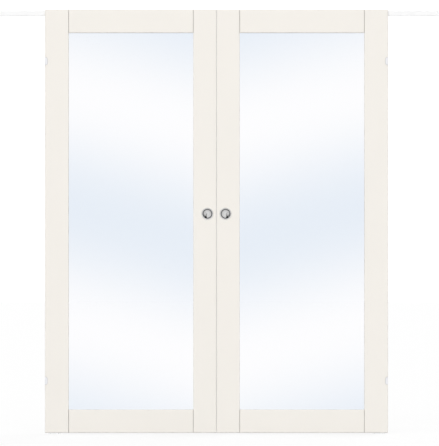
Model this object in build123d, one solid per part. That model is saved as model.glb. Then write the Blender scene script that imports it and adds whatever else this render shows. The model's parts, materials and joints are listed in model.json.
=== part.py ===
from build123d import *
import math
import os

# Double sliding door: two glazed leaves that part from the middle, hung on one wall-fixed running track
# that lies in a recess behind the top edge of the leaves. Millimetres. +X right, +Y to the wall, +Z up.
# Origin: on the floor, on the meeting line, in the middle of the leaf thickness.

# Leaf sizes
leaf_width = 826.0
leaf_height = 2040.0
leaf_thickness = 40.0
meeting_gap = 1.5
floor_gap = 6.0
outer_stile_width = 114.0
meeting_stile_width = 111.0
top_rail_height = 112.0
bottom_rail_height = 112.0
arris_radius = 3.0
joint_groove_width = 1.5
joint_groove_depth = 6.0
dowel_diameter = 8.0
dowel_length = 90.0
dowel_clearance = 0.1
top_dowel_shares = (0.17, 0.48)
bottom_dowel_shares = (0.25, 0.75)

# Glazing sizes
glazing_rebate = 14.0
sight_lip = 12.0
tape_thickness = 2.0
tape_width = 10.0
glass_thickness = 4.0
glass_edge_gap = 2.0
bead_round = 6.0
setting_block_length = 60.0
setting_block_share = 0.25

# Flush pull sizes
pull_height = 1056.0
pull_backset = 43.0
pull_flange_diameter = 56.0
pull_flange_proud = 2.0
pull_flange_round = 1.2
pull_flange_lip = 2.5
pull_wall = 1.5
pull_floor = 2.0
pull_cup_depth = 8.0
pull_groove_width = 4.5
pull_groove_depth = 4.0
pull_dish_round = 0.8
pull_pocket_diameter = 11.0
pull_pocket_depth = 14.0
pull_pocket_round = 4.5
pull_pocket_inset = 0.3
pull_pocket_angle = 64.0
pull_hole_clearance = 0.1

# Edge plug sizes
plug_width = 13.0
plug_height = 39.0
plug_depth = 12.0
plug_corner = 11.0
plug_groove_width = 1.2
plug_groove_depth = 4.0
plug_clearance = 0.15
plug_below_top = 248.0
plug_above_bottom = 251.0

# Track and recess sizes
recess_depth = 26.0
recess_height = 50.0
hanger_setback = 12.0
track_width = 22.0
track_height = 24.0
track_wall = 2.0
track_ledge = 2.5
track_slot = 8.0
track_round = 1.0
cap_thickness = 2.0
cap_plug_length = 5.0
cap_clearance = 0.15

# Wall bracket sizes
wall_gap = 7.0
bracket_thickness = 3.0
bracket_width = 40.0
bracket_drop = 95.0
bracket_bend = 2.0
bracket_cover = 3.0
bracket_shares = (0.09, 0.27, 0.45, 0.72, 0.96)
wall_hole_diameter = 5.5
wall_hole_pitch = 30.0
wall_hole_edge = 12.0
wall_sink_diameter = 9.0
track_screw_diameter = 5.0
track_screw_length = 6.0
track_screw_head = 9.0
screw_clearance = 0.1

# Trolley sizes
open_margin = 90.0
trolley_end_inset = 30.0
trolley_end_cover = 1.0
trolley_height = 12.0
trolley_neck = 8.0
trolley_boss_width = 14.0
trolley_boss_gap = 1.0
trolley_round = 1.5
wheel_base = 40.0
wheel_headroom = 1.4
wheel_thickness = 3.6
wheel_round = 0.6
wheel_dish = 0.6
wheel_hub_diameter = 8.0
wheel_rim = 2.5
wheel_side_gap = 0.4
wheel_end_play = 0.1
wheel_lift = 0.1
axle_diameter = 4.0
axle_clearance = 0.05
axle_head_diameter = 6.0
axle_head_length = 0.6

# Hanger sizes
bolt_diameter = 6.0
bolt_clearance = 0.1
bolt_top_inset = 1.0
hex_across_flats = 10.0
bolt_head_height = 4.0
lock_nut_height = 5.0
plate_length = 60.0
plate_depth = 20.0
plate_thickness = 4.0
plate_corner = 3.0
plate_slot_width = 6.6
plate_screw_pitch_x = 44.0
plate_screw_pitch_y = 12.0
plate_screw_diameter = 4.0
plate_screw_head = 7.6
plate_screw_length = 22.0
pocket_width = 14.0
pocket_depth = 9.0

# Stop sizes
stop_length = 16.0
stop_headroom = 3.5
stop_clearance = 0.3
stop_screw_diameter = 5.0
stop_screw_inset = 1.5
buffer_length = 5.0
buffer_diameter = 10.0
buffer_gap = 0.5

# Floor guide sizes
channel_width = 8.0
channel_height = 17.0
channel_wall = 1.0
channel_clearance = 0.1
guide_length = 60.0
guide_fin_length = 24.0
guide_fin_clearance = 0.3
guide_fin_reach = 13.0
guide_fin_round = 2.0
guide_base_depth = 22.0
guide_base_thickness = 3.0
guide_base_corner = 3.0
guide_hole_diameter = 4.5
guide_hole_pitch = 40.0
guide_hole_setback = 13.0
guide_sink_diameter = 8.0

# One overrun for every cut that has to break through a face
overrun = 1.0

# Flush pull diameters and depth, from its walls
pull_barrel_diameter = pull_flange_diameter - 2 * pull_flange_lip
pull_mouth_diameter = pull_barrel_diameter - 2 * pull_wall
pull_barrel_depth = pull_pocket_depth + pull_floor - pull_flange_proud

# Wheel, trolley and stop sizes, from the inside of the track
track_inside_height = track_height - track_wall - track_ledge
wheel_diameter = track_inside_height - wheel_lift - wheel_headroom
trolley_length = wheel_base + wheel_diameter + 2 * trolley_end_cover
trolley_inset = trolley_end_inset + trolley_length / 2
trolley_boss_length = wheel_base - wheel_diameter - 2 * trolley_boss_gap
stop_height = track_inside_height - stop_headroom

# Places along X, for the right leaf
meeting_x = meeting_gap / 2
outer_x = meeting_x + leaf_width
opening_x = (meeting_x + meeting_stile_width, outer_x - outer_stile_width)
pull_x = meeting_x + pull_backset
trolley_xs = (meeting_x + trolley_inset, outer_x - trolley_inset)
travel = leaf_width - open_margin
track_end_x = outer_x + travel - cap_thickness
guide_x = outer_x - open_margin / 2
bracket_xs = [share * track_end_x for share in bracket_shares]

# Places along Y
front_y = -leaf_thickness / 2
back_y = leaf_thickness / 2
seat_y = front_y + sight_lip
glass_y = (seat_y + tape_thickness, seat_y + tape_thickness + glass_thickness)
bead_y = glass_y[1] + tape_thickness
track_y = back_y - hanger_setback
wall_y = back_y + wall_gap
wheel_near = trolley_neck / 2 + wheel_side_gap
wheel_far = wheel_near + wheel_thickness

# Places along Z
bottom_z = floor_gap
top_z = bottom_z + leaf_height
opening_z = (bottom_z + bottom_rail_height, top_z - top_rail_height)
pull_z = bottom_z + pull_height
plug_zs = (bottom_z + plug_above_bottom, top_z - plug_below_top)
ledge_z = top_z - recess_height
plate_top_z = ledge_z + plate_thickness
bracket_top_z = top_z - bracket_cover
track_top_z = bracket_top_z - bracket_thickness
track_bottom_z = track_top_z - track_height
running_z = track_bottom_z + track_ledge
axle_z = running_z + wheel_lift + wheel_diameter / 2
trolley_top_z = axle_z + trolley_height / 2
bracket_foot_z = bracket_top_z - bracket_drop
groove_top_z = bottom_z + channel_height


def span(middle, length):
    return (middle - length / 2, middle + length / 2)


def grown(limits, amount):
    return (limits[0] - amount, limits[1] + amount)


def block(x, y, z):
    """A box from three (low, high) spans."""
    spans = (x, y, z)
    centre = [(low + high) / 2 for low, high in spans]
    return Pos(*centre) * Box(*[high - low for low, high in spans])


def rod(diameter, start, direction, length):
    """A round bar that leaves a point in a direction."""
    bar = Cylinder(diameter / 2, length, align=(Align.CENTER, Align.CENTER, Align.MIN))
    return Plane(origin=start, z_dir=direction) * bar


def sunk_screw(head, shank, start, direction, length):
    """A countersunk screw: its flat head starts at a point and its shank points in a direction."""
    depth = (head - shank) / 2
    cone = Cone(head / 2, shank / 2, depth, align=(Align.CENTER, Align.CENTER, Align.MIN))
    return Plane(origin=start, z_dir=direction) * cone + rod(shank, start, direction, length)


def hexagon(start, direction, height, bore=0):
    """A hexagon bar of the hanger bolt's spanner size, with an optional bore."""
    outline = RegularPolygon(hex_across_flats / 2, 6, major_radius=False)
    bar = extrude(Plane(origin=start, z_dir=direction) * outline, height, dir=direction)
    return bar - rod(bore, start, direction, height) if bore else bar


def front_edges(solid):
    return solid.faces().sort_by(Axis.Y)[0].edges()


# Timber members of a leaf


def glazing_rebate_cut():
    return block(
        grown(opening_x, glazing_rebate),
        (seat_y, back_y + overrun),
        grown(opening_z, glazing_rebate),
    )


def track_recess_cut():
    return block(
        (meeting_x - overrun, outer_x + overrun),
        (back_y - recess_depth, back_y + overrun),
        (ledge_z, top_z + overrun),
    )


def guide_groove_cut():
    return block(
        (meeting_x - overrun, outer_x + overrun),
        span(0, channel_width + 2 * channel_clearance),
        (bottom_z - overrun, groove_top_z),
    )


def dowel_places():
    """Middle points of the dowels: two at each end of both rails, on the joint faces."""
    top = (opening_z[1] + glazing_rebate, ledge_z)
    bottom = (groove_top_z, opening_z[0] - glazing_rebate)
    heights = [top[0] + share * (top[1] - top[0]) for share in top_dowel_shares]
    heights += [bottom[0] + share * (bottom[1] - bottom[0]) for share in bottom_dowel_shares]
    return [(x, z) for x in opening_x for z in heights]


def dowels(diameter, length):
    return [rod(diameter, (x - length / 2, 0, z), (1, 0, 0), length) for x, z in dowel_places()]


def plate_screws(clearance=0):
    """The screws of both hanger plates, or with a clearance the holes for them."""
    return [
        sunk_screw(
            plate_screw_head + clearance,
            plate_screw_diameter + clearance,
            (x + dx, track_y + dy, plate_top_z),
            (0, 0, -1),
            plate_screw_length + clearance,
        )
        for x in trolley_xs
        for dx in span(0, plate_screw_pitch_x)
        for dy in span(0, plate_screw_pitch_y)
    ]


def hanger_pockets():
    """Routed pockets for the bolt heads, open to the back of the leaf."""
    pockets = []
    for x in trolley_xs:
        deep = (ledge_z - pocket_depth, ledge_z + overrun)
        pockets.append(block(span(x, pocket_width), (track_y, back_y + overrun), deep))
        pockets.append(rod(pocket_width, (x, track_y, deep[0]), (0, 0, 1), deep[1] - deep[0]))
    return pockets


def machined(member):
    """A stile or rail with every cut of the leaf that crosses it."""
    cuts = [glazing_rebate_cut(), track_recess_cut(), guide_groove_cut()]
    cuts += dowels(dowel_diameter + 2 * dowel_clearance, dowel_length + 2 * dowel_clearance)
    cuts += hanger_pockets() + plate_screws(screw_clearance)
    return member - cuts


def stile(x):
    """A full-height stile with rounded front edges."""
    upright = block(x, (front_y, back_y), (bottom_z, top_z))
    return machined(fillet(front_edges(upright), arris_radius))


def rail(z):
    """A rail with rounded long edges and a shadow groove at both of its shoulders."""
    bar = block(opening_x, (front_y, back_y), z)
    bar = fillet(front_edges(bar).filter_by(Axis.X), arris_radius)
    groove_y = (front_y - overrun, front_y + joint_groove_depth)
    grooves = [block(span(x, 2 * joint_groove_width), groove_y, grown(z, overrun)) for x in opening_x]
    return machined(bar - grooves)


def plug_outline(clearance):
    """A D outline on the front of the outer edge: square to the edge, round towards the pane."""
    size = (plug_width - clearance, plug_height - 2 * clearance)
    face = Rectangle(*size, align=(Align.MAX, Align.CENTER))
    inner = face.vertices().sort_by(Axis.X)[:2]
    return fillet(inner, plug_corner - clearance)


def edge_plug(z, clearance, depth):
    outline = Plane(origin=(outer_x, front_y, z), x_dir=(1, 0, 0), z_dir=(0, -1, 0)) * plug_outline(clearance)
    return extrude(outline, depth, dir=(0, 1, 0))


def edge_plugs():
    """Flush plugs, rounded like the stile's edge, each with a shadow groove around its face."""
    plugs = []
    for z in plug_zs:
        plug = edge_plug(z, plug_clearance, plug_depth)
        plug = fillet(front_edges(plug).sort_by(Axis.X)[-1], arris_radius)
        face = edge_plug(z, plug_clearance + plug_groove_width, plug_groove_depth)
        plugs.append(plug - (edge_plug(z, 0, plug_groove_depth) - face))
    return plugs


def outer_stile():
    return stile((opening_x[1], outer_x)) - [edge_plug(z, 0, plug_depth) for z in plug_zs]


def meeting_stile():
    hole = pull_barrel_diameter + 2 * pull_hole_clearance
    depth = pull_barrel_depth + pull_hole_clearance
    front = rod(hole, (pull_x, front_y, pull_z), (0, 1, 0), depth)
    back = rod(hole, (pull_x, back_y, pull_z), (0, -1, 0), depth)
    return stile((meeting_x, opening_x[0])) - [front, back]


def top_rail():
    return rail((opening_z[1], top_z))


def bottom_rail():
    return rail((bottom_z, opening_z[0]))


# Glazing of a leaf


def glass():
    edge = glazing_rebate - glass_edge_gap
    return block(grown(opening_x, edge), glass_y, grown(opening_z, edge))


def glazing_seals():
    """Tape rings on both sides of the pane, and two setting blocks under it."""
    outer = glazing_rebate - glass_edge_gap
    inner = outer - tape_width
    seals = []
    for y in ((seat_y, glass_y[0]), (glass_y[1], bead_y)):
        ring = block(grown(opening_x, outer), y, grown(opening_z, outer))
        cut = block(grown(opening_x, inner), grown(y, overrun), grown(opening_z, inner))
        seals.append(ring - cut)
    width = opening_x[1] - opening_x[0]
    foot_z = opening_z[0] - glazing_rebate
    for share in (setting_block_share, 1 - setting_block_share):
        x = span(opening_x[0] + share * width, setting_block_length)
        seals.append(block(x, glass_y, (foot_z, foot_z + glass_edge_gap)))
    return seals


def bead(side):
    """A mitred glazing bead with a rounded sight edge, flush with the back of the leaf."""
    (x0, x1), (z0, z1) = opening_x, opening_z
    (u0, u1), (w0, w1) = grown(opening_x, glazing_rebate), grown(opening_z, glazing_rebate)
    corners = {
        "top": [(u0, w1), (u1, w1), (x1, z1), (x0, z1)],
        "bottom": [(u1, w0), (u0, w0), (x0, z0), (x1, z0)],
        "outer": [(u1, w1), (u1, w0), (x1, z0), (x1, z1)],
        "meeting": [(u0, w0), (u0, w1), (x0, z1), (x0, z0)],
    }[side]
    outline = Polyline(*[(x, bead_y, z) for x, z in corners], close=True)
    strip = extrude(make_face(outline), back_y - bead_y, dir=(0, 1, 0))
    sight = {
        "top": strip.faces().sort_by(Axis.Z)[0],
        "bottom": strip.faces().sort_by(Axis.Z)[-1],
        "outer": strip.faces().sort_by(Axis.X)[0],
        "meeting": strip.faces().sort_by(Axis.X)[-1],
    }[side]
    return fillet(sight.edges().sort_by(Axis.Y)[-1], bead_round)


# Flush pulls


def front_pull():
    """A round cup pull with a groove around its floor and a fingertip pocket on its lower outer side."""
    face_y = front_y - pull_flange_proud
    flange = rod(pull_flange_diameter, (pull_x, face_y, pull_z), (0, 1, 0), pull_flange_proud)
    flange = fillet(flange.edges().sort_by(Axis.Y)[0], pull_flange_round)
    barrel = rod(pull_barrel_diameter, (pull_x, front_y, pull_z), (0, 1, 0), pull_barrel_depth)
    cup = rod(pull_mouth_diameter, (pull_x, face_y, pull_z), (0, 1, 0), pull_cup_depth + pull_groove_depth)
    dish = pull_mouth_diameter - 2 * pull_groove_width
    dish = rod(dish, (pull_x, face_y + pull_cup_depth, pull_z), (0, 1, 0), pull_groove_depth)
    cup -= fillet(dish.edges().sort_by(Axis.Y)[0], pull_dish_round)
    angle = math.radians(pull_pocket_angle)
    reach = (pull_mouth_diameter - pull_pocket_diameter) / 2 - pull_pocket_inset
    start = (pull_x + reach * math.cos(angle), face_y, pull_z - reach * math.sin(angle))
    pocket = rod(pull_pocket_diameter, start, (0, 1, 0), pull_pocket_depth)
    pocket = fillet(pocket.edges().sort_by(Axis.Y)[-1], pull_pocket_round)
    return flange + barrel - cup - pocket


def back_pull():
    return mirror(front_pull(), about=Plane.XZ)


# Hangers and trolleys of a leaf


def guide_channel():
    """An aluminium channel let into the bottom edge, open downwards."""
    outside = block((meeting_x, outer_x), span(0, channel_width), (bottom_z, groove_top_z))
    inside = block(
        (meeting_x - overrun, outer_x + overrun),
        span(0, channel_width - 2 * channel_wall),
        (bottom_z - overrun, groove_top_z - channel_wall),
    )
    return outside - inside


def hanger_plates():
    plates = []
    for x in trolley_xs:
        plate = block(span(x, plate_length), span(track_y, plate_depth), (ledge_z, plate_top_z))
        plate = fillet(plate.edges().filter_by(Axis.Z), plate_corner)
        rise = (ledge_z - overrun, plate_top_z + overrun)
        slot = block(span(x, plate_slot_width), (track_y, back_y), rise)
        slot += rod(plate_slot_width, (x, track_y, rise[0]), (0, 0, 1), rise[1] - rise[0])
        plates.append(plate - [slot] - plate_screws(screw_clearance))
    return plates


def hanger_bolts():
    bolts = []
    for x in trolley_xs:
        length = trolley_top_z - bolt_top_inset - ledge_z
        shank = rod(bolt_diameter, (x, track_y, ledge_z), (0, 0, 1), length)
        bolts.append(shank + hexagon((x, track_y, ledge_z), (0, 0, -1), bolt_head_height))
    return bolts


def lock_nuts():
    bore = bolt_diameter + 2 * bolt_clearance
    return [hexagon((x, track_y, plate_top_z), (0, 0, 1), lock_nut_height, bore) for x in trolley_xs]


def axle_xs(x):
    return span(x, wheel_base)


def trolley(x):
    """A carrier block: a wide boss for the hanger bolt and narrow ends between the wheels."""
    z = span(axle_z, trolley_height)
    neck = block(span(x, trolley_length), span(track_y, trolley_neck), z)
    neck = fillet(neck.edges().filter_by(Axis.Y), trolley_round)
    boss = block(span(x, trolley_boss_length), span(track_y, trolley_boss_width), z)
    boss = fillet(boss.edges().filter_by(Axis.Z), trolley_round)
    bore = rod(bolt_diameter + 2 * bolt_clearance, (x, track_y, z[0]), (0, 0, 1), trolley_height)
    side_y = track_y - trolley_neck / 2
    pin = axle_diameter + 2 * axle_clearance
    pins = [rod(pin, (ax, side_y, axle_z), (0, 1, 0), trolley_neck) for ax in axle_xs(x)]
    return neck + boss - [bore] - pins


def wheel_axles():
    """Riveted axles, one through each end of both trolleys."""
    axles = []
    reach = wheel_far + wheel_end_play
    for x in trolley_xs:
        for ax in axle_xs(x):
            axle = rod(axle_diameter, (ax, track_y - reach, axle_z), (0, 1, 0), 2 * reach)
            for way in (-1, 1):
                seat = (ax, track_y + way * reach, axle_z)
                axle += rod(axle_head_diameter, seat, (0, way, 0), axle_head_length)
            axles.append(axle)
    return axles


def wheel(ax, way):
    """One wheel, dished between its hub and its rim on the outer side."""
    near = (ax, track_y + way * wheel_near, axle_z)
    disc = rod(wheel_diameter, near, (0, way, 0), wheel_thickness)
    disc = fillet(disc.edges().filter_by(GeomType.CIRCLE), wheel_round)
    dish_y = track_y + way * (wheel_far - wheel_dish)
    dish = rod(wheel_diameter - 2 * wheel_rim, (ax, dish_y, axle_z), (0, way, 0), wheel_dish)
    dish -= rod(wheel_hub_diameter, (ax, dish_y, axle_z), (0, way, 0), wheel_dish)
    bore = rod(axle_diameter + 2 * axle_clearance, near, (0, way, 0), wheel_thickness)
    return disc - [dish, bore]


def wheel_pair(ax):
    return [wheel(ax, -1), wheel(ax, 1)]


# Fixed frame


def track_section():
    """The extruded channel seen from its end: closed on top, with two running ledges and a slot."""
    outside = RectangleRounded(track_width, track_height, track_round)
    middle = (track_ledge - track_wall) / 2
    inside = Pos(0, middle) * Rectangle(track_width - 2 * track_wall, track_inside_height)
    slot = Pos(0, -track_height / 2) * Rectangle(track_slot, 2 * (track_ledge + overrun))
    return outside, inside, slot


def track_plane(x):
    """The section's plane, with its first axis along Y and its second up."""
    middle_z = track_bottom_z + track_height / 2
    return Plane(origin=(x, track_y, middle_z), x_dir=(0, 1, 0), z_dir=(1, 0, 0))


def track_screw_places():
    return [(way * x, track_y, bracket_top_z) for x in bracket_xs for way in (-1, 1)]


def track_screws(clearance=0):
    return [
        sunk_screw(
            track_screw_head + clearance,
            track_screw_diameter + clearance,
            place,
            (0, 0, -1),
            track_screw_length + clearance,
        )
        for place in track_screw_places()
    ]


def running_track():
    outside, inside, slot = track_section()
    bar = extrude(track_plane(-track_end_x) * (outside - inside - slot), 2 * track_end_x, dir=(1, 0, 0))
    return bar - track_screws(screw_clearance)


def track_end_caps():
    outside, inside, _ = track_section()
    caps = []
    for way in (-1, 1):
        plane = track_plane(way * track_end_x)
        cap = extrude(plane * outside, cap_thickness, dir=(way, 0, 0))
        plug = offset(inside, -cap_clearance, kind=Kind.INTERSECTION)
        caps.append(cap + extrude(plane * plug, cap_plug_length, dir=(-way, 0, 0)))
    return caps


def wall_bracket(x):
    """A bent steel angle: its top leg covers the track, its back leg is screwed to the wall."""
    tip_y = track_y - track_width / 2
    corners = [
        (tip_y, bracket_top_z),
        (wall_y, bracket_top_z),
        (wall_y, bracket_foot_z),
        (wall_y - bracket_thickness, bracket_foot_z),
        (wall_y - bracket_thickness, track_top_z),
        (tip_y, track_top_z),
    ]
    low_x = x - bracket_width / 2
    outline = Polyline(*[(low_x, y, z) for y, z in corners], close=True)
    angle = extrude(make_face(outline), bracket_width, dir=(1, 0, 0))
    bends = angle.edges().filter_by(Axis.X)
    outer = bends.sort_by_distance((x, wall_y, bracket_top_z))[0]
    angle = fillet(outer, bracket_bend + bracket_thickness)
    inner = angle.edges().filter_by(Axis.X)
    inner = inner.sort_by_distance((x, wall_y - bracket_thickness, track_top_z))[0]
    angle = fillet(inner, bracket_bend)
    holes = []
    for rise in (0, wall_hole_pitch):
        face = (x, wall_y - bracket_thickness, bracket_foot_z + wall_hole_edge + rise)
        holes.append(sunk_screw(wall_sink_diameter, wall_hole_diameter, face, (0, 1, 0), bracket_thickness))
    return angle - holes - track_screws(screw_clearance)


def wall_brackets():
    return [wall_bracket(way * x) for x in bracket_xs for way in (-1, 1)]


def stop_spans():
    """Where the stop blocks lie along the track: in the middle and beyond each leaf's open end."""
    inner = trolley_xs[0] - trolley_length / 2 - buffer_gap - buffer_length
    outer = trolley_xs[1] + travel + trolley_length / 2 + buffer_gap + buffer_length
    return [(-inner, inner), (outer, outer + stop_length), (-outer - stop_length, -outer)]


def stop_screws(clearance=0):
    """Clamping screws that wedge each stop block between the ledges and the top of the track."""
    foot = running_z + stop_screw_inset
    length = track_top_z - track_wall - foot
    return [
        rod(stop_screw_diameter + clearance, ((low + high) / 2, track_y, foot), (0, 0, 1), length)
        for low, high in stop_spans()
    ]


def track_stops():
    width = track_width - 2 * track_wall - 2 * stop_clearance
    foot = running_z + stop_screw_inset
    bore = stop_screw_diameter + screw_clearance
    stops = []
    for low, high in stop_spans():
        stop = block((low, high), span(track_y, width), (running_z, running_z + stop_height))
        stop = fillet(stop.edges().filter_by(Axis.X), trolley_round)
        middle = (low + high) / 2
        shaft = rod(bore, (middle, track_y, running_z), (0, 0, 1), foot - running_z + stop_height)
        stops.append(stop - [shaft])
    return stops


def stop_buffers():
    middle, right, left = stop_spans()
    faces = [(middle[0], -1), (middle[1], 1), (right[0], -1), (left[1], 1)]
    return [rod(buffer_diameter, (x, track_y, axle_z), (way, 0, 0), buffer_length) for x, way in faces]


def floor_guide():
    """An angle on the floor whose upright fin runs in the leaf's channel."""
    fin_width = channel_width - 2 * channel_wall - 2 * guide_fin_clearance
    near_y = -fin_width / 2
    fin = block(span(guide_x, guide_fin_length), span(0, fin_width), (0, bottom_z + guide_fin_reach))
    fin = fillet(fin.edges().filter_by(Axis.Z), guide_fin_round)
    base = block(span(guide_x, guide_length), (near_y, near_y + guide_base_depth), (0, guide_base_thickness))
    corners = base.edges().filter_by(Axis.Z).sort_by(Axis.Y)[-2:]
    base = fillet(corners, guide_base_corner)
    holes = [
        sunk_screw(
            guide_sink_diameter,
            guide_hole_diameter,
            (x, guide_hole_setback, guide_base_thickness),
            (0, 0, -1),
            guide_base_thickness,
        )
        for x in span(guide_x, guide_hole_pitch)
    ]
    return fin + base - holes


def leaf_nodes():
    """Every piece of the right leaf by name; a list is a group of separate solids."""
    nodes = {
        "outer_stile": outer_stile(),
        "meeting_stile": meeting_stile(),
        "top_rail": top_rail(),
        "bottom_rail": bottom_rail(),
        "rail_dowels": dowels(dowel_diameter, dowel_length),
        "glass": glass(),
        "glazing_seals": glazing_seals(),
        "front_pull": front_pull(),
        "back_pull": back_pull(),
        "edge_plugs": edge_plugs(),
        "guide_channel": guide_channel(),
        "hanger_plates": hanger_plates(),
        "plate_screws": plate_screws(),
        "hanger_bolts": hanger_bolts(),
        "lock_nuts": lock_nuts(),
        "wheel_axles": wheel_axles(),
        "inner_trolley": trolley(trolley_xs[0]),
        "outer_trolley": trolley(trolley_xs[1]),
    }
    for side in ("top", "bottom", "outer", "meeting"):
        nodes["bead_" + side] = bead(side)
    axles = [ax for x in trolley_xs for ax in axle_xs(x)]
    for number, ax in enumerate(axles, 1):
        nodes[f"wheel_pair_{number}"] = wheel_pair(ax)
    return nodes


def frame_nodes():
    guide = floor_guide()
    return {
        "running_track": running_track(),
        "track_end_caps": track_end_caps(),
        "wall_brackets": wall_brackets(),
        "track_screws": track_screws() + stop_screws(),
        "track_stops": track_stops(),
        "stop_buffers": stop_buffers(),
        "right_floor_guide": guide,
        "left_floor_guide": mirror(guide, about=Plane.YZ),
    }


def as_one(pieces):
    """A single shape, or a compound of the separate solids of a group."""
    if not isinstance(pieces, list):
        return pieces
    return Compound(children=[piece.solid() for piece in pieces])


def main():
    os.makedirs("parts", exist_ok=True)
    nodes = frame_nodes()
    for name, pieces in leaf_nodes().items():
        nodes["right_" + name] = pieces
        nodes["left_" + name] = (
            [mirror(piece, about=Plane.YZ) for piece in pieces]
            if isinstance(pieces, list)
            else mirror(pieces, about=Plane.YZ)
        )
    for name, pieces in nodes.items():
        export_step(as_one(pieces), f"parts/{name}.step")


main()
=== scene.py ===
"""Looks of the double sliding door: cream lacquered leaves, glass with painted sky reflections in bands,
chrome pulls, white track.
"""
import json
import math

import bmesh
import bpy
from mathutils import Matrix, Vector


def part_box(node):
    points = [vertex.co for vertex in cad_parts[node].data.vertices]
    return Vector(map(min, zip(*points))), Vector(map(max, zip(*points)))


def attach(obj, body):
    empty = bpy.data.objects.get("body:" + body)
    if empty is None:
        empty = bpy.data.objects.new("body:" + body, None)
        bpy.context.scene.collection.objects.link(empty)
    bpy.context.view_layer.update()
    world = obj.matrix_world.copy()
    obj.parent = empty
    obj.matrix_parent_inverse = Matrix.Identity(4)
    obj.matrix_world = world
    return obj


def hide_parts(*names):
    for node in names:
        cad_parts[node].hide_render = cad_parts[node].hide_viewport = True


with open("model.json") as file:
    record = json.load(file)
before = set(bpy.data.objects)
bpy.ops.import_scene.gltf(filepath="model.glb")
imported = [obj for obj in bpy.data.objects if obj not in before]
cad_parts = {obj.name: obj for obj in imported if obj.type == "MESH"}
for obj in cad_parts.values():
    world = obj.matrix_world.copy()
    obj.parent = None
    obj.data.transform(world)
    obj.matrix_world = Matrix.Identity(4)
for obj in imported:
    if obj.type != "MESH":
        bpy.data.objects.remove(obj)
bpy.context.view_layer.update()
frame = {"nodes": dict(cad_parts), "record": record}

MM = 0.001
WHITE = (1.0, 1.0, 1.0, 1.0)
SHARP_ANGLE = math.radians(35.0)
NODES = frame["nodes"]
SIDES = ("left", "right")

# Photograph: its frame in pixels, and the pixels that place the pair of leaves in it
PHOTO_WIDTH_PX = 439
PHOTO_HEIGHT_PX = 446
LEAF_BOTTOM_PX = 432.85
LEAF_TOP_PX = 9.65
MEETING_LINE_PX = 216.5

# Camera, with the end of its view as a share of its distance
LENS_MM = 600.0
SENSOR_MM = 36.0
VIEW_END_SHARE = 4.0

# Finishes, as linear colours
CREAM_LACQUER = (0.880, 0.847, 0.794)
BRIGHT_WHITE = (0.93, 0.93, 0.93)
PLUG_WHITE = (0.88, 0.88, 0.90)
NYLON_WHITE = (0.78, 0.76, 0.70)
CLEAR_PLASTIC = (0.97, 0.98, 0.985)
CHROME = (0.73, 0.73, 0.73)
ZINC = (0.60, 0.62, 0.65)
AXLE_STEEL = (0.50, 0.50, 0.52)
CAST_ZINC = (0.42, 0.43, 0.45)
DRAWN_ALUMINIUM = (0.74, 0.74, 0.75)
BUFFER_BLACK = (0.025, 0.025, 0.027)
TAPE_GREY = (0.66, 0.66, 0.64)
BEECH = (0.56, 0.38, 0.22)
BEECH_DARK = (0.42, 0.26, 0.14)

# Noise in the finishes, with scales per metre, and the range of roughness of beech
FILM_DRIFT = dict(scale=5.0, detail=3.0)
FILM_DRIFT_SHARE = 0.7
FILM_SPECK = dict(scale=260.0, detail=2.0)
FILM_GLOSS = dict(scale=38.0, detail=4.0, roughness=0.6)
FILM_PEEL = dict(detail=2.0, roughness=0.4)
METAL_LINES = dict(detail=5.0, roughness=0.65)
SKIN_CLOUD = dict(scale=90.0, detail=3.0)
BEECH_GRAIN = dict(scale=45.0, detail=5.0, roughness=0.6)
BEECH_GLOSS = dict(low=0.5, high=0.7)

# Stretch of lines and grain, which run along the axis with the lowest number
ALONG_X = (1.0, 40.0, 40.0)
ALONG_Y = (40.0, 1.0, 40.0)
ALONG_Z = (40.0, 40.0, 1.0)
CAST_STRETCH = (8.0, 8.0, 8.0)
BEECH_STRETCH = (1.0, 14.0, 14.0)

# Painted shade in corners, grooves and pockets: its reach in metres and how far it darkens the colour
PAINT_RECESS = dict(reach=0.008, depth=0.4)
PLUG_RECESS = dict(reach=0.004, depth=0.4)
PULL_RECESS = dict(reach=0.016, depth=0.85)
RECESS_SAMPLES = 16

# Painted shade in a pull's groove and pocket, darker with depth: where it starts and ends, in millimetres
# from the leaf's middle, and its darkest factor
DEPTH_SHADE_FROM = 11.5
DEPTH_SHADE_TO = 8.5
DEPTH_SHADE_DARKEST = 0.05

# Glass and its painted sky reflection in soft diagonal bands
GLASS_IOR = 1.5
REFLECTION_BAND_WHITE = (0.985, 0.985, 1.0)
REFLECTION_BAND_BLUE = (0.797, 0.855, 0.932)
BAND_PERIOD = 1.123
BAND_SLOPE = 0.27
BAND_WHITE_HEIGHT = 1.458

# Fasteners: digits that tell places apart, points in a ring, lengths in millimetres, shares of a head's size
PLACE_DIGITS = 3
RING_POINTS = 48
THREAD_PITCH = 1.0
THREAD_DEPTH = 0.5
THREAD_ROWS_PER_TURN = 4
HEX_ACROSS_FLATS = 10.0
HEX_FACE_SHARE = 0.95
HEX_CHAMFER = math.radians(30.0)
NUT_BORE = 6.2
CROSS_SPAN_SHARE = 0.58
CROSS_TIP_SHARE = 0.2
CROSS_WIDTH_SHARE = 0.13
CROSS_DEPTH_SHARE = 0.24
CUT_OVERRUN = 0.5
SOCKET_ACROSS_FLATS = 2.5
SOCKET_DEPTH = 2.5

# Seal between the leaves, in millimetres, with the steps and the squareness of its D section
SEAL_SET_BACK = 1.8
SEAL_WIDTH = 8.0
SEAL_CLEARANCE = 0.05
SEAL_STEPS = 24
SEAL_SQUARENESS = 0.35

# Fingertip scoop in a pull's dish, in millimetres: its middle, seen from the pull's, half sizes and rows
SCOOP_OUT = 10.3
SCOOP_DOWN = 3.4
SCOOP_IN = 5.4
SCOOP_HALF_SIZES = (9.0, 5.7, 10.6)
SCOOP_ROWS = 24
WELD_DISTANCE = 0.002

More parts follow.
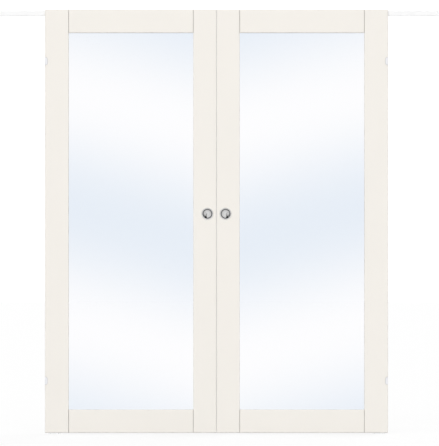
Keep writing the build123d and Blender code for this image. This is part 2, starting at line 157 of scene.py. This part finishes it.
# Light and floor, with angles in degrees
FRONT_LIGHT = dict(strength=1.70, elevation=22.0, azimuth=-6.0)
BACK_LIGHT = dict(strength=1.2, elevation=40.0, azimuth=150.0)
LIGHT_SOFTNESS = 40.0
FILL_STRENGTH = 1.13
FILL_FALL = 0.7
STUDIO_FRONT = 0.92
STUDIO_SIDE = 0.12
STUDIO_POWER = 2.0
FLOOR_HALF_SIZE = 60.0
FLOOR_COLOUR = (0.22, 0.22, 0.22)
FLOOR_GLOW = 0.765


# Node helpers


def feed(tree, socket, value):
    """Links a socket to another one, or sets it to a plain value."""
    if isinstance(value, bpy.types.NodeSocket):
        tree.links.new(value, socket)
    else:
        socket.default_value = value


def new_group(name, inputs, outputs):
    """A shader node group with named sockets; returns it with the sockets it reads and the ones it fills."""
    group = bpy.data.node_groups.new(name, "ShaderNodeTree")
    for label, kind, value in inputs:
        group.interface.new_socket(label, in_out="INPUT", socket_type=kind).default_value = value
    for label, kind in outputs:
        group.interface.new_socket(label, in_out="OUTPUT", socket_type=kind)
    return group, group.nodes.new("NodeGroupInput").outputs, group.nodes.new("NodeGroupOutput").inputs


def group_node(tree, group, **values):
    """A node of a shared effect with its sockets set: tone_drift sets Tone Drift; returns its outputs."""
    node = tree.nodes.new("ShaderNodeGroup")
    node.node_tree = group
    for label, value in values.items():
        node.inputs[label.replace("_", " ").title()].default_value = value
    return node.outputs


def math_node(tree, operation, *values):
    """A math node whose inputs are sockets or plain numbers; returns its result socket."""
    node = tree.nodes.new("ShaderNodeMath")
    node.operation = operation
    for socket, value in zip(node.inputs, values):
        feed(tree, socket, value)
    return node.outputs[0]


def remap(tree, value, low, high):
    """Maps a 0 to 1 value to a range given by sockets or plain numbers."""
    node = tree.nodes.new("ShaderNodeMapRange")
    tree.links.new(value, node.inputs["Value"])
    feed(tree, node.inputs["To Min"], low)
    feed(tree, node.inputs["To Max"], high)
    return node.outputs["Result"]


def noise(tree, coordinates, scale, detail, roughness=0.5):
    node = tree.nodes.new("ShaderNodeTexNoise")
    tree.links.new(coordinates, node.inputs["Vector"])
    feed(tree, node.inputs["Scale"], scale)
    node.inputs["Detail"].default_value = detail
    node.inputs["Roughness"].default_value = roughness
    return node.outputs["Fac"]


def mix_colour(tree, factor, first, second):
    """A mix of two plain colours by a factor socket; returns its colour socket."""
    node = tree.nodes.new("ShaderNodeMix")
    node.data_type = "RGBA"
    tree.links.new(factor, node.inputs["Factor"])
    colours = [socket for socket in node.inputs if socket.type == "RGBA"]
    for socket, colour in zip(colours, (first, second)):
        socket.default_value = (*colour, 1.0)
    return [socket for socket in node.outputs if socket.type == "RGBA"][0]


def scaled_colour(tree, colour, factor):
    node = tree.nodes.new("ShaderNodeVectorMath")
    node.operation = "SCALE"
    tree.links.new(colour, node.inputs["Vector"])
    tree.links.new(factor, node.inputs["Scale"])
    return node.outputs["Vector"]


def object_coordinates(tree):
    return tree.nodes.new("ShaderNodeTexCoord").outputs["Object"]


def stretched_coordinates(tree, stretch):
    """The piece's own coordinates, scaled along each axis by a socket or a plain vector."""
    node = tree.nodes.new("ShaderNodeVectorMath")
    node.operation = "MULTIPLY"
    tree.links.new(object_coordinates(tree), node.inputs[0])
    feed(tree, node.inputs[1], stretch)
    return node.outputs["Vector"]


def axes_of(tree, vector):
    """The X, Y and Z sockets of a vector socket."""
    node = tree.nodes.new("ShaderNodeSeparateXYZ")
    tree.links.new(vector, node.inputs["Vector"])
    return node.outputs


def light_path_mask(tree, *names):
    """One where a ray is of any of the named kinds."""
    path = tree.nodes.new("ShaderNodeLightPath")
    total = path.outputs[names[0]]
    for name in names[1:]:
        total = math_node(tree, "MAXIMUM", total, path.outputs[name])
    return total


# Effects shared by several finishes

EFFECT_OUTPUTS = [
    ("Colour", "NodeSocketColor"),
    ("Roughness", "NodeSocketFloat"),
    ("Height", "NodeSocketFloat"),
]


def put_out(group, made, *sockets):
    """Joins sockets to the outputs of a group, in their order."""
    for socket, output in zip(sockets, made):
        group.links.new(socket, output)


def sprayed_film_group():
    """Sprayed lacquer or powder: a fine orange peel, a slow drift of tone and of gloss."""
    inputs = [
        ("Colour", "NodeSocketColor", (*CREAM_LACQUER, 1.0)),
        ("Peel Scale", "NodeSocketFloat", 900.0),
        ("Tone Drift", "NodeSocketFloat", 0.02),
        ("Gloss Low", "NodeSocketFloat", 0.36),
        ("Gloss High", "NodeSocketFloat", 0.46),
    ]
    group, given, made = new_group("sprayed_film", inputs, EFFECT_OUTPUTS)
    place = object_coordinates(group)
    drift = math_node(group, "MULTIPLY", noise(group, place, **FILM_DRIFT), FILM_DRIFT_SHARE)
    speck = math_node(group, "MULTIPLY", noise(group, place, **FILM_SPECK), 1 - FILM_DRIFT_SHARE)
    low = math_node(group, "SUBTRACT", 1.0, given["Tone Drift"])
    high = math_node(group, "ADD", 1.0, given["Tone Drift"])
    tone = remap(group, math_node(group, "ADD", drift, speck), low, high)
    colour = scaled_colour(group, given["Colour"], tone)
    rough = remap(group, noise(group, place, **FILM_GLOSS), given["Gloss Low"], given["Gloss High"])
    peel = noise(group, place, given["Peel Scale"], **FILM_PEEL)
    put_out(group, made, colour, rough, peel)
    return group


def drawn_metal_group():
    """Fine lines left by drawing, rolling or polishing, stretched along one axis of the piece."""
    inputs = [
        ("Colour", "NodeSocketColor", (*ZINC, 1.0)),
        ("Stretch", "NodeSocketVector", ALONG_X),
        ("Line Scale", "NodeSocketFloat", 60.0),
        ("Contrast", "NodeSocketFloat", 0.1),
        ("Gloss Low", "NodeSocketFloat", 0.25),
        ("Gloss High", "NodeSocketFloat", 0.45),
    ]
    group, given, made = new_group("drawn_metal", inputs, EFFECT_OUTPUTS)
    place = stretched_coordinates(group, given["Stretch"])
    lines = noise(group, place, given["Line Scale"], **METAL_LINES)
    low = math_node(group, "SUBTRACT", 1.0, given["Contrast"])
    colour = scaled_colour(group, given["Colour"], remap(group, lines, low, 1.0))
    rough = remap(group, lines, given["Gloss Low"], given["Gloss High"])
    put_out(group, made, colour, rough, lines)
    return group


def moulded_skin_group():
    """The fine spark-eroded grain of moulded plastic and rubber."""
    inputs = [
        ("Colour", "NodeSocketColor", (*PLUG_WHITE, 1.0)),
        ("Grain Scale", "NodeSocketFloat", 1400.0),
        ("Tone Drift", "NodeSocketFloat", 0.04),
        ("Gloss Low", "NodeSocketFloat", 0.42),
        ("Gloss High", "NodeSocketFloat", 0.58),
    ]
    group, given, made = new_group("moulded_skin", inputs, EFFECT_OUTPUTS)
    place = object_coordinates(group)
    cells = group.nodes.new("ShaderNodeTexVoronoi")
    group.links.new(place, cells.inputs["Vector"])
    group.links.new(given["Grain Scale"], cells.inputs["Scale"])
    cloud = noise(group, place, **SKIN_CLOUD)
    low = math_node(group, "SUBTRACT", 1.0, given["Tone Drift"])
    colour = scaled_colour(group, given["Colour"], remap(group, cloud, low, 1.0))
    rough = remap(group, cloud, given["Gloss Low"], given["Gloss High"])
    put_out(group, made, colour, rough, cells.outputs["Distance"])
    return group


def recess_shade_group():
    """Painted shade: a factor that darkens a colour by up to the given depth in corners, grooves and pockets.
    """
    inputs = [("Reach", "NodeSocketFloat", 0.01), ("Depth", "NodeSocketFloat", 0.5)]
    group, given, made = new_group("recess_shade", inputs, [("Factor", "NodeSocketFloat")])
    openness = group.nodes.new("ShaderNodeAmbientOcclusion")
    openness.samples = RECESS_SAMPLES
    group.links.new(given["Reach"], openness.inputs["Distance"])
    low = math_node(group, "SUBTRACT", 1.0, given["Depth"])
    put_out(group, made, remap(group, openness.outputs["AO"], low, 1.0))
    return group


# Finishes


def new_finish(name):
    material = bpy.data.materials.new(name)
    material.use_nodes = True
    return material, material.node_tree, material.node_tree.nodes["Principled BSDF"]


def painted_depth_shade(tree):
    """Painted shade: a factor that darkens the colour with depth at the bottom of a pull's groove and pocket.
    """
    from_middle = math_node(tree, "ABSOLUTE", axes_of(tree, object_coordinates(tree))["Y"])
    height = math_node(tree, "SUBTRACT", from_middle, DEPTH_SHADE_TO * MM)
    share = math_node(tree, "DIVIDE", height, (DEPTH_SHADE_FROM - DEPTH_SHADE_TO) * MM)
    return remap(tree, share, DEPTH_SHADE_DARKEST, 1.0)


def effect_finish(
    name, group, colour, bump_mm, metallic=0.0, transmission=0.0, recess=None, depth_shade=None, **values
):
    """A finish from one of the shared effects; recess holds the painted recess shade and its values."""
    material, tree, shader = new_finish(name)
    effect = group_node(tree, group, colour=(*colour, 1.0), **values)
    bump = tree.nodes.new("ShaderNodeBump")
    bump.inputs["Strength"].default_value = 1.0
    bump.inputs["Distance"].default_value = bump_mm * MM
    tree.links.new(effect["Height"], bump.inputs["Height"])
    colour_out = effect["Colour"]
    # painted shade: the recess shade darkens the colour in corners, grooves and pockets
    if recess:
        shade, shade_values = recess
        colour_out = scaled_colour(tree, colour_out, group_node(tree, shade, **shade_values)["Factor"])
    # painted shade: the colour darkens with depth in a pull's groove and pocket
    if depth_shade:
        colour_out = scaled_colour(tree, colour_out, depth_shade(tree))
    tree.links.new(colour_out, shader.inputs["Base Color"])
    tree.links.new(effect["Roughness"], shader.inputs["Roughness"])
    tree.links.new(bump.outputs["Normal"], shader.inputs["Normal"])
    shader.inputs["Metallic"].default_value = metallic
    shader.inputs["Transmission Weight"].default_value = transmission
    return material


def painted_reflection_glass():
    """Clear float glass with a painted sky reflection in its colour, in soft blue and white bands that slant,
    mirrored between the leaves.
    """
    material, tree, shader = new_finish("painted_reflection_glass")
    place = axes_of(tree, object_coordinates(tree))
    rise = math_node(tree, "MULTIPLY", math_node(tree, "ABSOLUTE", place["X"]), BAND_SLOPE)
    height = math_node(tree, "SUBTRACT", place["Z"], rise)
    height = math_node(tree, "SUBTRACT", height, BAND_WHITE_HEIGHT)
    wave = math_node(tree, "COSINE", math_node(tree, "MULTIPLY", height, 2 * math.pi / BAND_PERIOD))
    share = math_node(tree, "ADD", math_node(tree, "MULTIPLY", wave, 0.5), 0.5)
    # painted reflection: bands of sky blue and white in the glass's colour
    tree.links.new(mix_colour(tree, share, REFLECTION_BAND_BLUE, REFLECTION_BAND_WHITE), shader.inputs["Base Color"])
    shader.inputs["Metallic"].default_value = 0.0
    shader.inputs["Roughness"].default_value = 0.0
    shader.inputs["IOR"].default_value = GLASS_IOR
    shader.inputs["Transmission Weight"].default_value = 1.0
    return material


def beech_dowel():
    """Beech with dark and light grain along the dowel."""
    material, tree, shader = new_finish("beech_dowel")
    grain = noise(tree, stretched_coordinates(tree, BEECH_STRETCH), **BEECH_GRAIN)
    tree.links.new(mix_colour(tree, grain, BEECH, BEECH_DARK), shader.inputs["Base Color"])
    tree.links.new(remap(tree, grain, **BEECH_GLOSS), shader.inputs["Roughness"])
    return material


def make_finishes():
    """Every finish by the record's slot name."""
    film, metal, skin = sprayed_film_group(), drawn_metal_group(), moulded_skin_group()
    shade = recess_shade_group()
    powder = dict(peel_scale=700.0, tone_drift=0.01, gloss_low=0.42, gloss_high=0.55)
    return {
        "paint": effect_finish(
            "cream_lacquer", film, CREAM_LACQUER, bump_mm=0.02, recess=(shade, PAINT_RECESS),
        ),
        "track_white": effect_finish("white_powder_track", film, BRIGHT_WHITE, bump_mm=0.03, **powder),
        "bracket_white": effect_finish("white_powder_bracket", film, BRIGHT_WHITE, bump_mm=0.04, **powder),
        "glass": painted_reflection_glass(),
        "dowel_wood": beech_dowel(),
        # the chrome carries painted shade in its recesses, and darker with depth in its groove and pocket
        "chrome": effect_finish(
            "polished_chrome", metal, CHROME, bump_mm=0.0006, metallic=1.0, recess=(shade, PULL_RECESS),
            depth_shade=painted_depth_shade, stretch=ALONG_Z, contrast=0.03, gloss_low=0.05, gloss_high=0.10,
        ),
        "zinc_steel": effect_finish(
            "bright_zinc_plate", metal, ZINC, bump_mm=0.004, metallic=1.0,
            stretch=ALONG_X, contrast=0.12, gloss_low=0.28, gloss_high=0.44,
        ),
        "axle_steel": effect_finish(
            "ground_axle_steel", metal, AXLE_STEEL, bump_mm=0.003, metallic=1.0,
            stretch=ALONG_Y, contrast=0.10, gloss_low=0.18, gloss_high=0.32,
        ),
        "trolley_metal": effect_finish(
            "cast_zinc", metal, CAST_ZINC, bump_mm=0.02, metallic=1.0,
            stretch=CAST_STRETCH, contrast=0.18, gloss_low=0.42, gloss_high=0.62,
        ),
        "channel_aluminium": effect_finish(
            "drawn_aluminium", metal, DRAWN_ALUMINIUM, bump_mm=0.006, metallic=1.0,
            stretch=ALONG_X, contrast=0.10, gloss_low=0.26, gloss_high=0.40,
        ),
        "edge_plug": effect_finish(
            "plug_plastic", skin, PLUG_WHITE, bump_mm=0.02, recess=(shade, PLUG_RECESS),
        ),
        "white_plastic": effect_finish("cap_plastic", skin, BRIGHT_WHITE, bump_mm=0.02),
        "wheel_nylon": effect_finish(
            "wheel_nylon", skin, NYLON_WHITE, bump_mm=0.01, gloss_low=0.32, gloss_high=0.46,
        ),
        "guide_plastic": effect_finish(
            "clear_guide_plastic", skin, CLEAR_PLASTIC, bump_mm=0.002, transmission=1.0,
            gloss_low=0.05, gloss_high=0.12,
        ),
        "buffer_rubber": effect_finish(
            "buffer_rubber", skin, BUFFER_BLACK, bump_mm=0.03, gloss_low=0.7, gloss_high=0.85,
        ),
        "glazing_tape": effect_finish(
            "glazing_tape", skin, TAPE_GREY, bump_mm=0.05, gloss_low=0.8, gloss_high=0.95,
        ),
    }


def dress_nodes(finishes):
    """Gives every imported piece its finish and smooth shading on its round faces; glass casts no shadow."""
    for row in frame["record"]["subparts"]:
        piece = NODES[row["node"]]
        piece.data.materials.clear()
        piece.data.materials.append(finishes[row["material_slot"]])
        piece.data.shade_smooth()
        piece.data.set_sharp_from_angle(angle=SHARP_ANGLE)
        if row["material_slot"] == "glass":
            piece.visible_shadow = False


# Shells: lists of points and faces, in millimetres unless a piece is made from them


def ring(radius, z):
    """Points around the Z axis; radius may be a function of the angle, and z one of the radius."""
    angles = [2 * math.pi * number / RING_POINTS for number in range(RING_POINTS)]
    radii = [radius(angle) if callable(radius) else radius for angle in angles]
    heights = [z(value) if callable(z) else z for value in radii]
    return [(r * math.cos(a), r * math.sin(a), h) for r, a, h in zip(radii, angles, heights)]


def stacked_rings(rings, closed=False):
    """A shell of rings joined one to the next, capped at both ends or closed into a loop."""
    count = len(rings[0])
    points = [point for row in rings for point in row]
    pairs = list(zip(range(len(rings)), range(1, len(rings))))
    last = (len(rings) - 1) * count
    if closed:
        pairs.append((len(rings) - 1, 0))
    faces = []
    for low, high in pairs:
        for here in range(count):
            after = (here + 1) % count
            faces.append((low * count + here, low * count + after, high * count + after, high * count + here))
    if not closed:
        faces += [tuple(reversed(range(count))), tuple(range(last, last + count))]
    return points, faces


def new_mesh_object(name, shell):
    mesh = bpy.data.meshes.new(name)
    mesh.from_pydata(shell[0], [], shell[1])
    piece = bpy.data.objects.new(name, mesh)
    bpy.context.scene.collection.objects.link(piece)
    return piece


def finished_piece(name, shell, finish):
    """A piece made from a shell in metres, smooth on its round faces."""
    piece = new_mesh_object(name, shell)
    piece.data.materials.append(finish)
    piece.data.shade_smooth()
    piece.data.set_sharp_from_angle(angle=SHARP_ANGLE)
    return piece


def cut_shell(body, cutters):
    """A shell with other shells cut out of it."""
    block = new_mesh_object("blank", body)
    tools = [new_mesh_object("cutter", cutter) for cutter in cutters]
    for tool in tools:
        cut = block.modifiers.new("cut", "BOOLEAN")
        cut.operation, cut.solver, cut.object = "DIFFERENCE", "EXACT", tool
    result = bpy.data.meshes.new_from_object(block.evaluated_get(bpy.context.evaluated_depsgraph_get()))
    shell = [tuple(v.co) for v in result.vertices], [tuple(face.vertices) for face in result.polygons]
    for piece in [block, *tools]:
        mesh = piece.data
        bpy.data.objects.remove(piece)
        bpy.data.meshes.remove(mesh)
    bpy.data.meshes.remove(result)
    return shell


# Fasteners: threads, chamfers and driver recesses that the solids leave out


def solid_points(node):
    """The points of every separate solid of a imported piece, in millimetres."""
    mesh = NODES[node].data
    places = [tuple(round(value / MM, PLACE_DIGITS) for value in vertex.co) for vertex in mesh.vertices]
    parent = {place: place for place in places}

    def root(place):
        while parent[place] != place:
            place = parent[place]
        return place

    for face in mesh.polygons:
        first = root(places[face.vertices[0]])
        for corner in face.vertices[1:]:
            parent[root(places[corner])] = first
    solids = {}
    for place in parent:
        solids.setdefault(root(place), []).append(Vector(place))
    return [solids[key] for key in sorted(solids)]


def limits(points):
    low = Vector([min(point[axis] for point in points) for axis in range(3)])
    high = Vector([max(point[axis] for point in points) for axis in range(3)])
    return low, high


def upright_axis(low, high):
    """Where the upright axis of a turned solid stands."""
    return (low.x + high.x) / 2, (low.y + high.y) / 2


def radius_at(points, axis, z):
    """The radius of a turned solid at the height of some of its points."""
    return max(math.hypot(point.x - axis[0], point.y - axis[1]) for point in points if point.z == z)


def hexagon_radius(across_flats):
    """The radius of a hexagon as a function of the angle, with corners on the X axis."""
    turn = math.pi / 3
    return lambda angle: across_flats / 2 / math.cos(angle % turn - turn / 2)


def hexagon_head(height):
    """A bolt head that hangs below zero, chamfered on its lower face."""
    radius, face = hexagon_radius(HEX_ACROSS_FLATS), HEX_FACE_SHARE * HEX_ACROSS_FLATS / 2
    lower = ring(radius, lambda r: (r - face) * math.tan(HEX_CHAMFER) - height)
    return stacked_rings([ring(face, -height), lower, ring(radius, 0.0)])


def hexagon_nut(height):
    """A nut on zero, chamfered on both faces."""
    radius, face = hexagon_radius(HEX_ACROSS_FLATS), HEX_FACE_SHARE * HEX_ACROSS_FLATS / 2
    lower = ring(radius, lambda r: (r - face) * math.tan(HEX_CHAMFER))
    upper = ring(radius, lambda r: height - (r - face) * math.tan(HEX_CHAMFER))
    bore = NUT_BORE / 2
    rings = [ring(bore, 0.0), ring(face, 0.0), lower, upper, ring(face, height), ring(bore, height)]
    return stacked_rings(rings, closed=True)


def threaded_shank(radius, length):
    """A shank on zero with a screw thread cut into it and a chamfered end."""
    rows = round(length / THREAD_PITCH * THREAD_ROWS_PER_TURN)
    rings = []
    for number in range(rows + 1):
        z = length * number / rows

        def thread(angle):
            phase = (z / THREAD_PITCH - angle / (2 * math.pi)) % 1.0
            cut = radius - THREAD_DEPTH * abs(2 * phase - 1)
            return min(cut, radius - THREAD_DEPTH + length - z)

        rings.append(ring(thread, z))
    return stacked_rings(rings)


def sunk_screw(head_radius, shank_radius, length):
    """A countersunk screw whose head is at zero and whose shank points down, with a cross recess."""
    cone = head_radius - shank_radius
    body = stacked_rings([ring(shank_radius, -length), ring(shank_radius, -cone), ring(head_radius, 0.0)])
    diameter = 2 * head_radius
    half, tip = CROSS_SPAN_SHARE * diameter / 2, CROSS_TIP_SHARE * diameter / 2
    side, depth = CROSS_WIDTH_SHARE * diameter / 2, CROSS_DEPTH_SHARE * diameter
    slope = (half - tip) / depth
    top = half + slope * CUT_OVERRUN
    blade = [
        [(-x, -side, z), (x, -side, z), (x, side, z), (-x, side, z)]
        for x, z in ((tip, -depth), (top, CUT_OVERRUN))
    ]
    crossing = [[(-y, x, z) for x, y, z in row] for row in blade]
    return cut_shell(body, [stacked_rings(blade), stacked_rings(crossing)])


def grub_screw(radius, length):
    """A headless screw on zero with a hexagon socket in its lower end."""
    socket = hexagon_radius(SOCKET_ACROSS_FLATS)
    rings = [ring(socket, SOCKET_DEPTH), ring(socket, 0.0), ring(radius, 0.0), ring(radius, length)]
    return stacked_rings(rings)


def bolt_shells(points):
    """The hanger bolt: a chamfered head and a threaded shank."""
    low, high = limits(points)
    axis = upright_axis(low, high)
    seat = min(z for z in {point.z for point in points} if z > low.z)
    shank = threaded_shank(radius_at(points, axis, high.z), high.z - seat)
    foot = (*axis, seat)
    return [(hexagon_head(seat - low.z), foot), (shank, foot)]


def nut_shells(points):
    low, high = limits(points)
    return [(hexagon_nut(high.z - low.z), (*upright_axis(low, high), low.z))]


def screw_shells(points):
    """A countersunk screw, or a headless one where the solid is a plain rod."""
    low, high = limits(points)
    axis = upright_axis(low, high)
    head = (high.x - low.x) / 2
    shank = radius_at(points, axis, low.z)
    if head - shank < THREAD_DEPTH:
        return [(grub_screw(shank, high.z - low.z), (*axis, low.z))]
    return [(sunk_screw(head, shank, high.z - low.z), (*axis, high.z))]


def fit_fasteners(name, node, body, shells_of, finish):
    """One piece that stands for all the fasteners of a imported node, each where its solid is."""
    points, faces = [], []
    for solid in solid_points(node):
        for (shell_points, shell_faces), (x, y, z) in shells_of(solid):
            start = len(points)
            points += [((px + x) * MM, (py + y) * MM, (pz + z) * MM) for px, py, pz in shell_points]
            faces += [tuple(corner + start for corner in face) for face in shell_faces]
    piece = finished_piece(name, (points, faces), finish)
    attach(piece, body)
    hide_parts(node)


def fit_all_fasteners(finish):
    fit_fasteners("bracket_and_stop_screws", "track_screws", "frame", screw_shells, finish)
    for side in SIDES:
        leaf = f"{side}_leaf"
        fit_fasteners(f"{side}_cross_screws", f"{side}_plate_screws", leaf, screw_shells, finish)
        fit_fasteners(f"{side}_threaded_bolts", f"{side}_hanger_bolts", leaf, bolt_shells, finish)
        fit_fasteners(f"{side}_chamfered_nuts", f"{side}_lock_nuts", leaf, nut_shells, finish)


# Pulls and seal


def welded_shell(node):
    """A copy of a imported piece's faces with shared corners, in millimetres."""
    copy = bmesh.new()
    copy.from_mesh(NODES[node].data)
    bmesh.ops.scale(copy, vec=(1 / MM, 1 / MM, 1 / MM), verts=copy.verts)
    bmesh.ops.remove_doubles(copy, verts=copy.verts, dist=WELD_DISTANCE)
    shell = [tuple(v.co) for v in copy.verts], [tuple(v.index for v in face.verts) for face in copy.faces]
    copy.free()
    return shell


def scoop_shell(middle):
    """An ellipsoid around a point, with its poles towards the front and the back."""
    turns = [math.pi * (number + 0.5) / SCOOP_ROWS for number in range(SCOOP_ROWS)]
    points, faces = stacked_rings([ring(math.sin(turn), -math.cos(turn)) for turn in turns])
    across, deep, tall = SCOOP_HALF_SIZES
    return [(middle[0] + across * x, middle[1] - deep * z, middle[2] + tall * y) for x, y, z in points], faces


def fit_scooped_pulls(finish):
    """The pulls with a shallow scoop that leads a fingertip from the dish into the pocket."""
    for side, outwards in zip(SIDES, (-1, 1)):
        for place, inwards in (("front", 1), ("back", -1)):
            node = f"{side}_{place}_pull"
            low, high = (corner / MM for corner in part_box(node))
            face_y = low.y if place == "front" else high.y
            x, z = (low.x + high.x) / 2 + outwards * SCOOP_OUT, (low.z + high.z) / 2 - SCOOP_DOWN
            points, faces = cut_shell(welded_shell(node), [scoop_shell((x, face_y + inwards * SCOOP_IN, z))])
            points = [tuple(value * MM for value in point) for point in points]
            pull = finished_piece(f"{side}_{place}_scooped_pull", (points, faces), finish)
            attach(pull, f"{side}_leaf")
            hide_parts(node)


def fit_meeting_seal(finish):
    """A soft seal on the left leaf's meeting edge that closes the gap between the leaves."""
    low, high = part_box("left_meeting_stile")
    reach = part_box("right_meeting_stile")[0].x - high.x - SEAL_CLEARANCE * MM
    half = SEAL_WIDTH / 2 * MM
    middle = low.y + SEAL_SET_BACK * MM + half
    turns = [math.pi * number / SEAL_STEPS for number in range(SEAL_STEPS + 1)]
    swells = [abs(math.sin(turn)) ** SEAL_SQUARENESS for turn in turns]
    section = [(high.x + reach * swell, middle - half * math.cos(turn)) for swell, turn in zip(swells, turns)]
    shell = stacked_rings([[(x, y, z) for x, y in section] for z in (low.z, high.z)])
    seal = finished_piece("meeting_seal", shell, finish)
    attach(seal, "left_leaf")


# Studio


def make_world():
    """White behind everything, a light tent with dark sides for gloss, and a fill that weakens overhead."""
    world = bpy.data.worlds.new("studio")
    bpy.context.scene.world = world
    world.use_nodes = True
    tree = world.node_tree
    tree.nodes.clear()
    towards = axes_of(tree, tree.nodes.new("ShaderNodeTexCoord").outputs["Generated"])
    depth = math_node(tree, "ABSOLUTE", towards["Y"])
    tent = remap(tree, math_node(tree, "POWER", depth, STUDIO_POWER), STUDIO_SIDE, STUDIO_FRONT)
    fall = math_node(tree, "SUBTRACT", 1.0, math_node(tree, "MULTIPLY", towards["Z"], FILL_FALL))
    level = tree.nodes.new("ShaderNodeMix")
    tree.links.new(light_path_mask(tree, "Is Glossy Ray"), level.inputs["Factor"])
    tree.links.new(math_node(tree, "MULTIPLY", fall, FILL_STRENGTH), level.inputs["A"])
    tree.links.new(tent, level.inputs["B"])
    seen = light_path_mask(tree, "Is Camera Ray", "Is Transmission Ray")
    background = tree.nodes.new("ShaderNodeBackground")
    background.inputs["Color"].default_value = WHITE
    strength = math_node(tree, "MAXIMUM", level.outputs["Result"], seen)
    tree.links.new(strength, background.inputs["Strength"])
    output = tree.nodes.new("ShaderNodeOutputWorld")
    tree.links.new(background.outputs["Background"], output.inputs["Surface"])


def make_floor():
    """A plain pale floor that takes most of its light from its own glow and keeps the object's shadow."""
    half = FLOOR_HALF_SIZE
    corners = [(-half, -half, 0), (half, -half, 0), (half, half, 0), (-half, half, 0)]
    floor = new_mesh_object("floor", (corners, [(0, 1, 2, 3)]))
    material, tree, shader = new_finish("pale_floor")
    shader.inputs["Base Color"].default_value = (*FLOOR_COLOUR, 1.0)
    shader.inputs["Roughness"].default_value = 1.0
    shader.inputs["Specular IOR Level"].default_value = 0.0
    shader.inputs["Emission Color"].default_value = WHITE
    seen = light_path_mask(tree, "Is Camera Ray", "Is Glossy Ray", "Is Transmission Ray")
    tree.links.new(math_node(tree, "MULTIPLY", seen, FLOOR_GLOW), shader.inputs["Emission Strength"])
    floor.data.materials.append(material)


def make_soft_light(name, strength, elevation, azimuth):
    """A broad soft lamp far off; azimuth 0 is straight in front of the leaves."""
    lamp = bpy.data.lights.new(name, "SUN")
    lamp.energy = strength
    lamp.angle = math.radians(LIGHT_SOFTNESS)
    light = bpy.data.objects.new(name, lamp)
    light.visible_glossy = False
    light.visible_transmission = False
    bpy.context.scene.collection.objects.link(light)
    up, turn = math.radians(elevation), math.radians(azimuth)
    towards = Vector((math.sin(turn) * math.cos(up), -math.cos(turn) * math.cos(up), math.sin(up)))
    light.rotation_euler = towards.to_track_quat("Z", "Y").to_euler()


def make_camera():
    """A long lens square to the leaves, framed so that the pair fills the photograph's pixels."""
    low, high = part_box("left_outer_stile")
    metres_per_px = (high.z - low.z) / (LEAF_BOTTOM_PX - LEAF_TOP_PX)
    aim_x = (PHOTO_WIDTH_PX / 2 - MEETING_LINE_PX) * metres_per_px
    aim_z = low.z + (LEAF_BOTTOM_PX - PHOTO_HEIGHT_PX / 2) * metres_per_px
    distance = PHOTO_HEIGHT_PX * metres_per_px * LENS_MM / SENSOR_MM
    data = bpy.data.cameras.new("camera")
    data.lens = LENS_MM
    data.sensor_width = SENSOR_MM
    data.clip_end = VIEW_END_SHARE * distance
    camera = bpy.data.objects.new("camera", data)
    camera.location = (aim_x, low.y - distance, aim_z)
    camera.rotation_euler = (math.pi / 2, 0.0, 0.0)
    bpy.context.scene.collection.objects.link(camera)
    bpy.context.scene.camera = camera


finishes = make_finishes()
dress_nodes(finishes)
fit_all_fasteners(finishes["zinc_steel"])
fit_scooped_pulls(finishes["chrome"])
fit_meeting_seal(finishes["white_plastic"])
make_world()
make_floor()
make_soft_light("front_light", **FRONT_LIGHT)
make_soft_light("back_light", **BACK_LIGHT)
make_camera()
bpy.context.scene.view_settings.view_transform = "Standard"
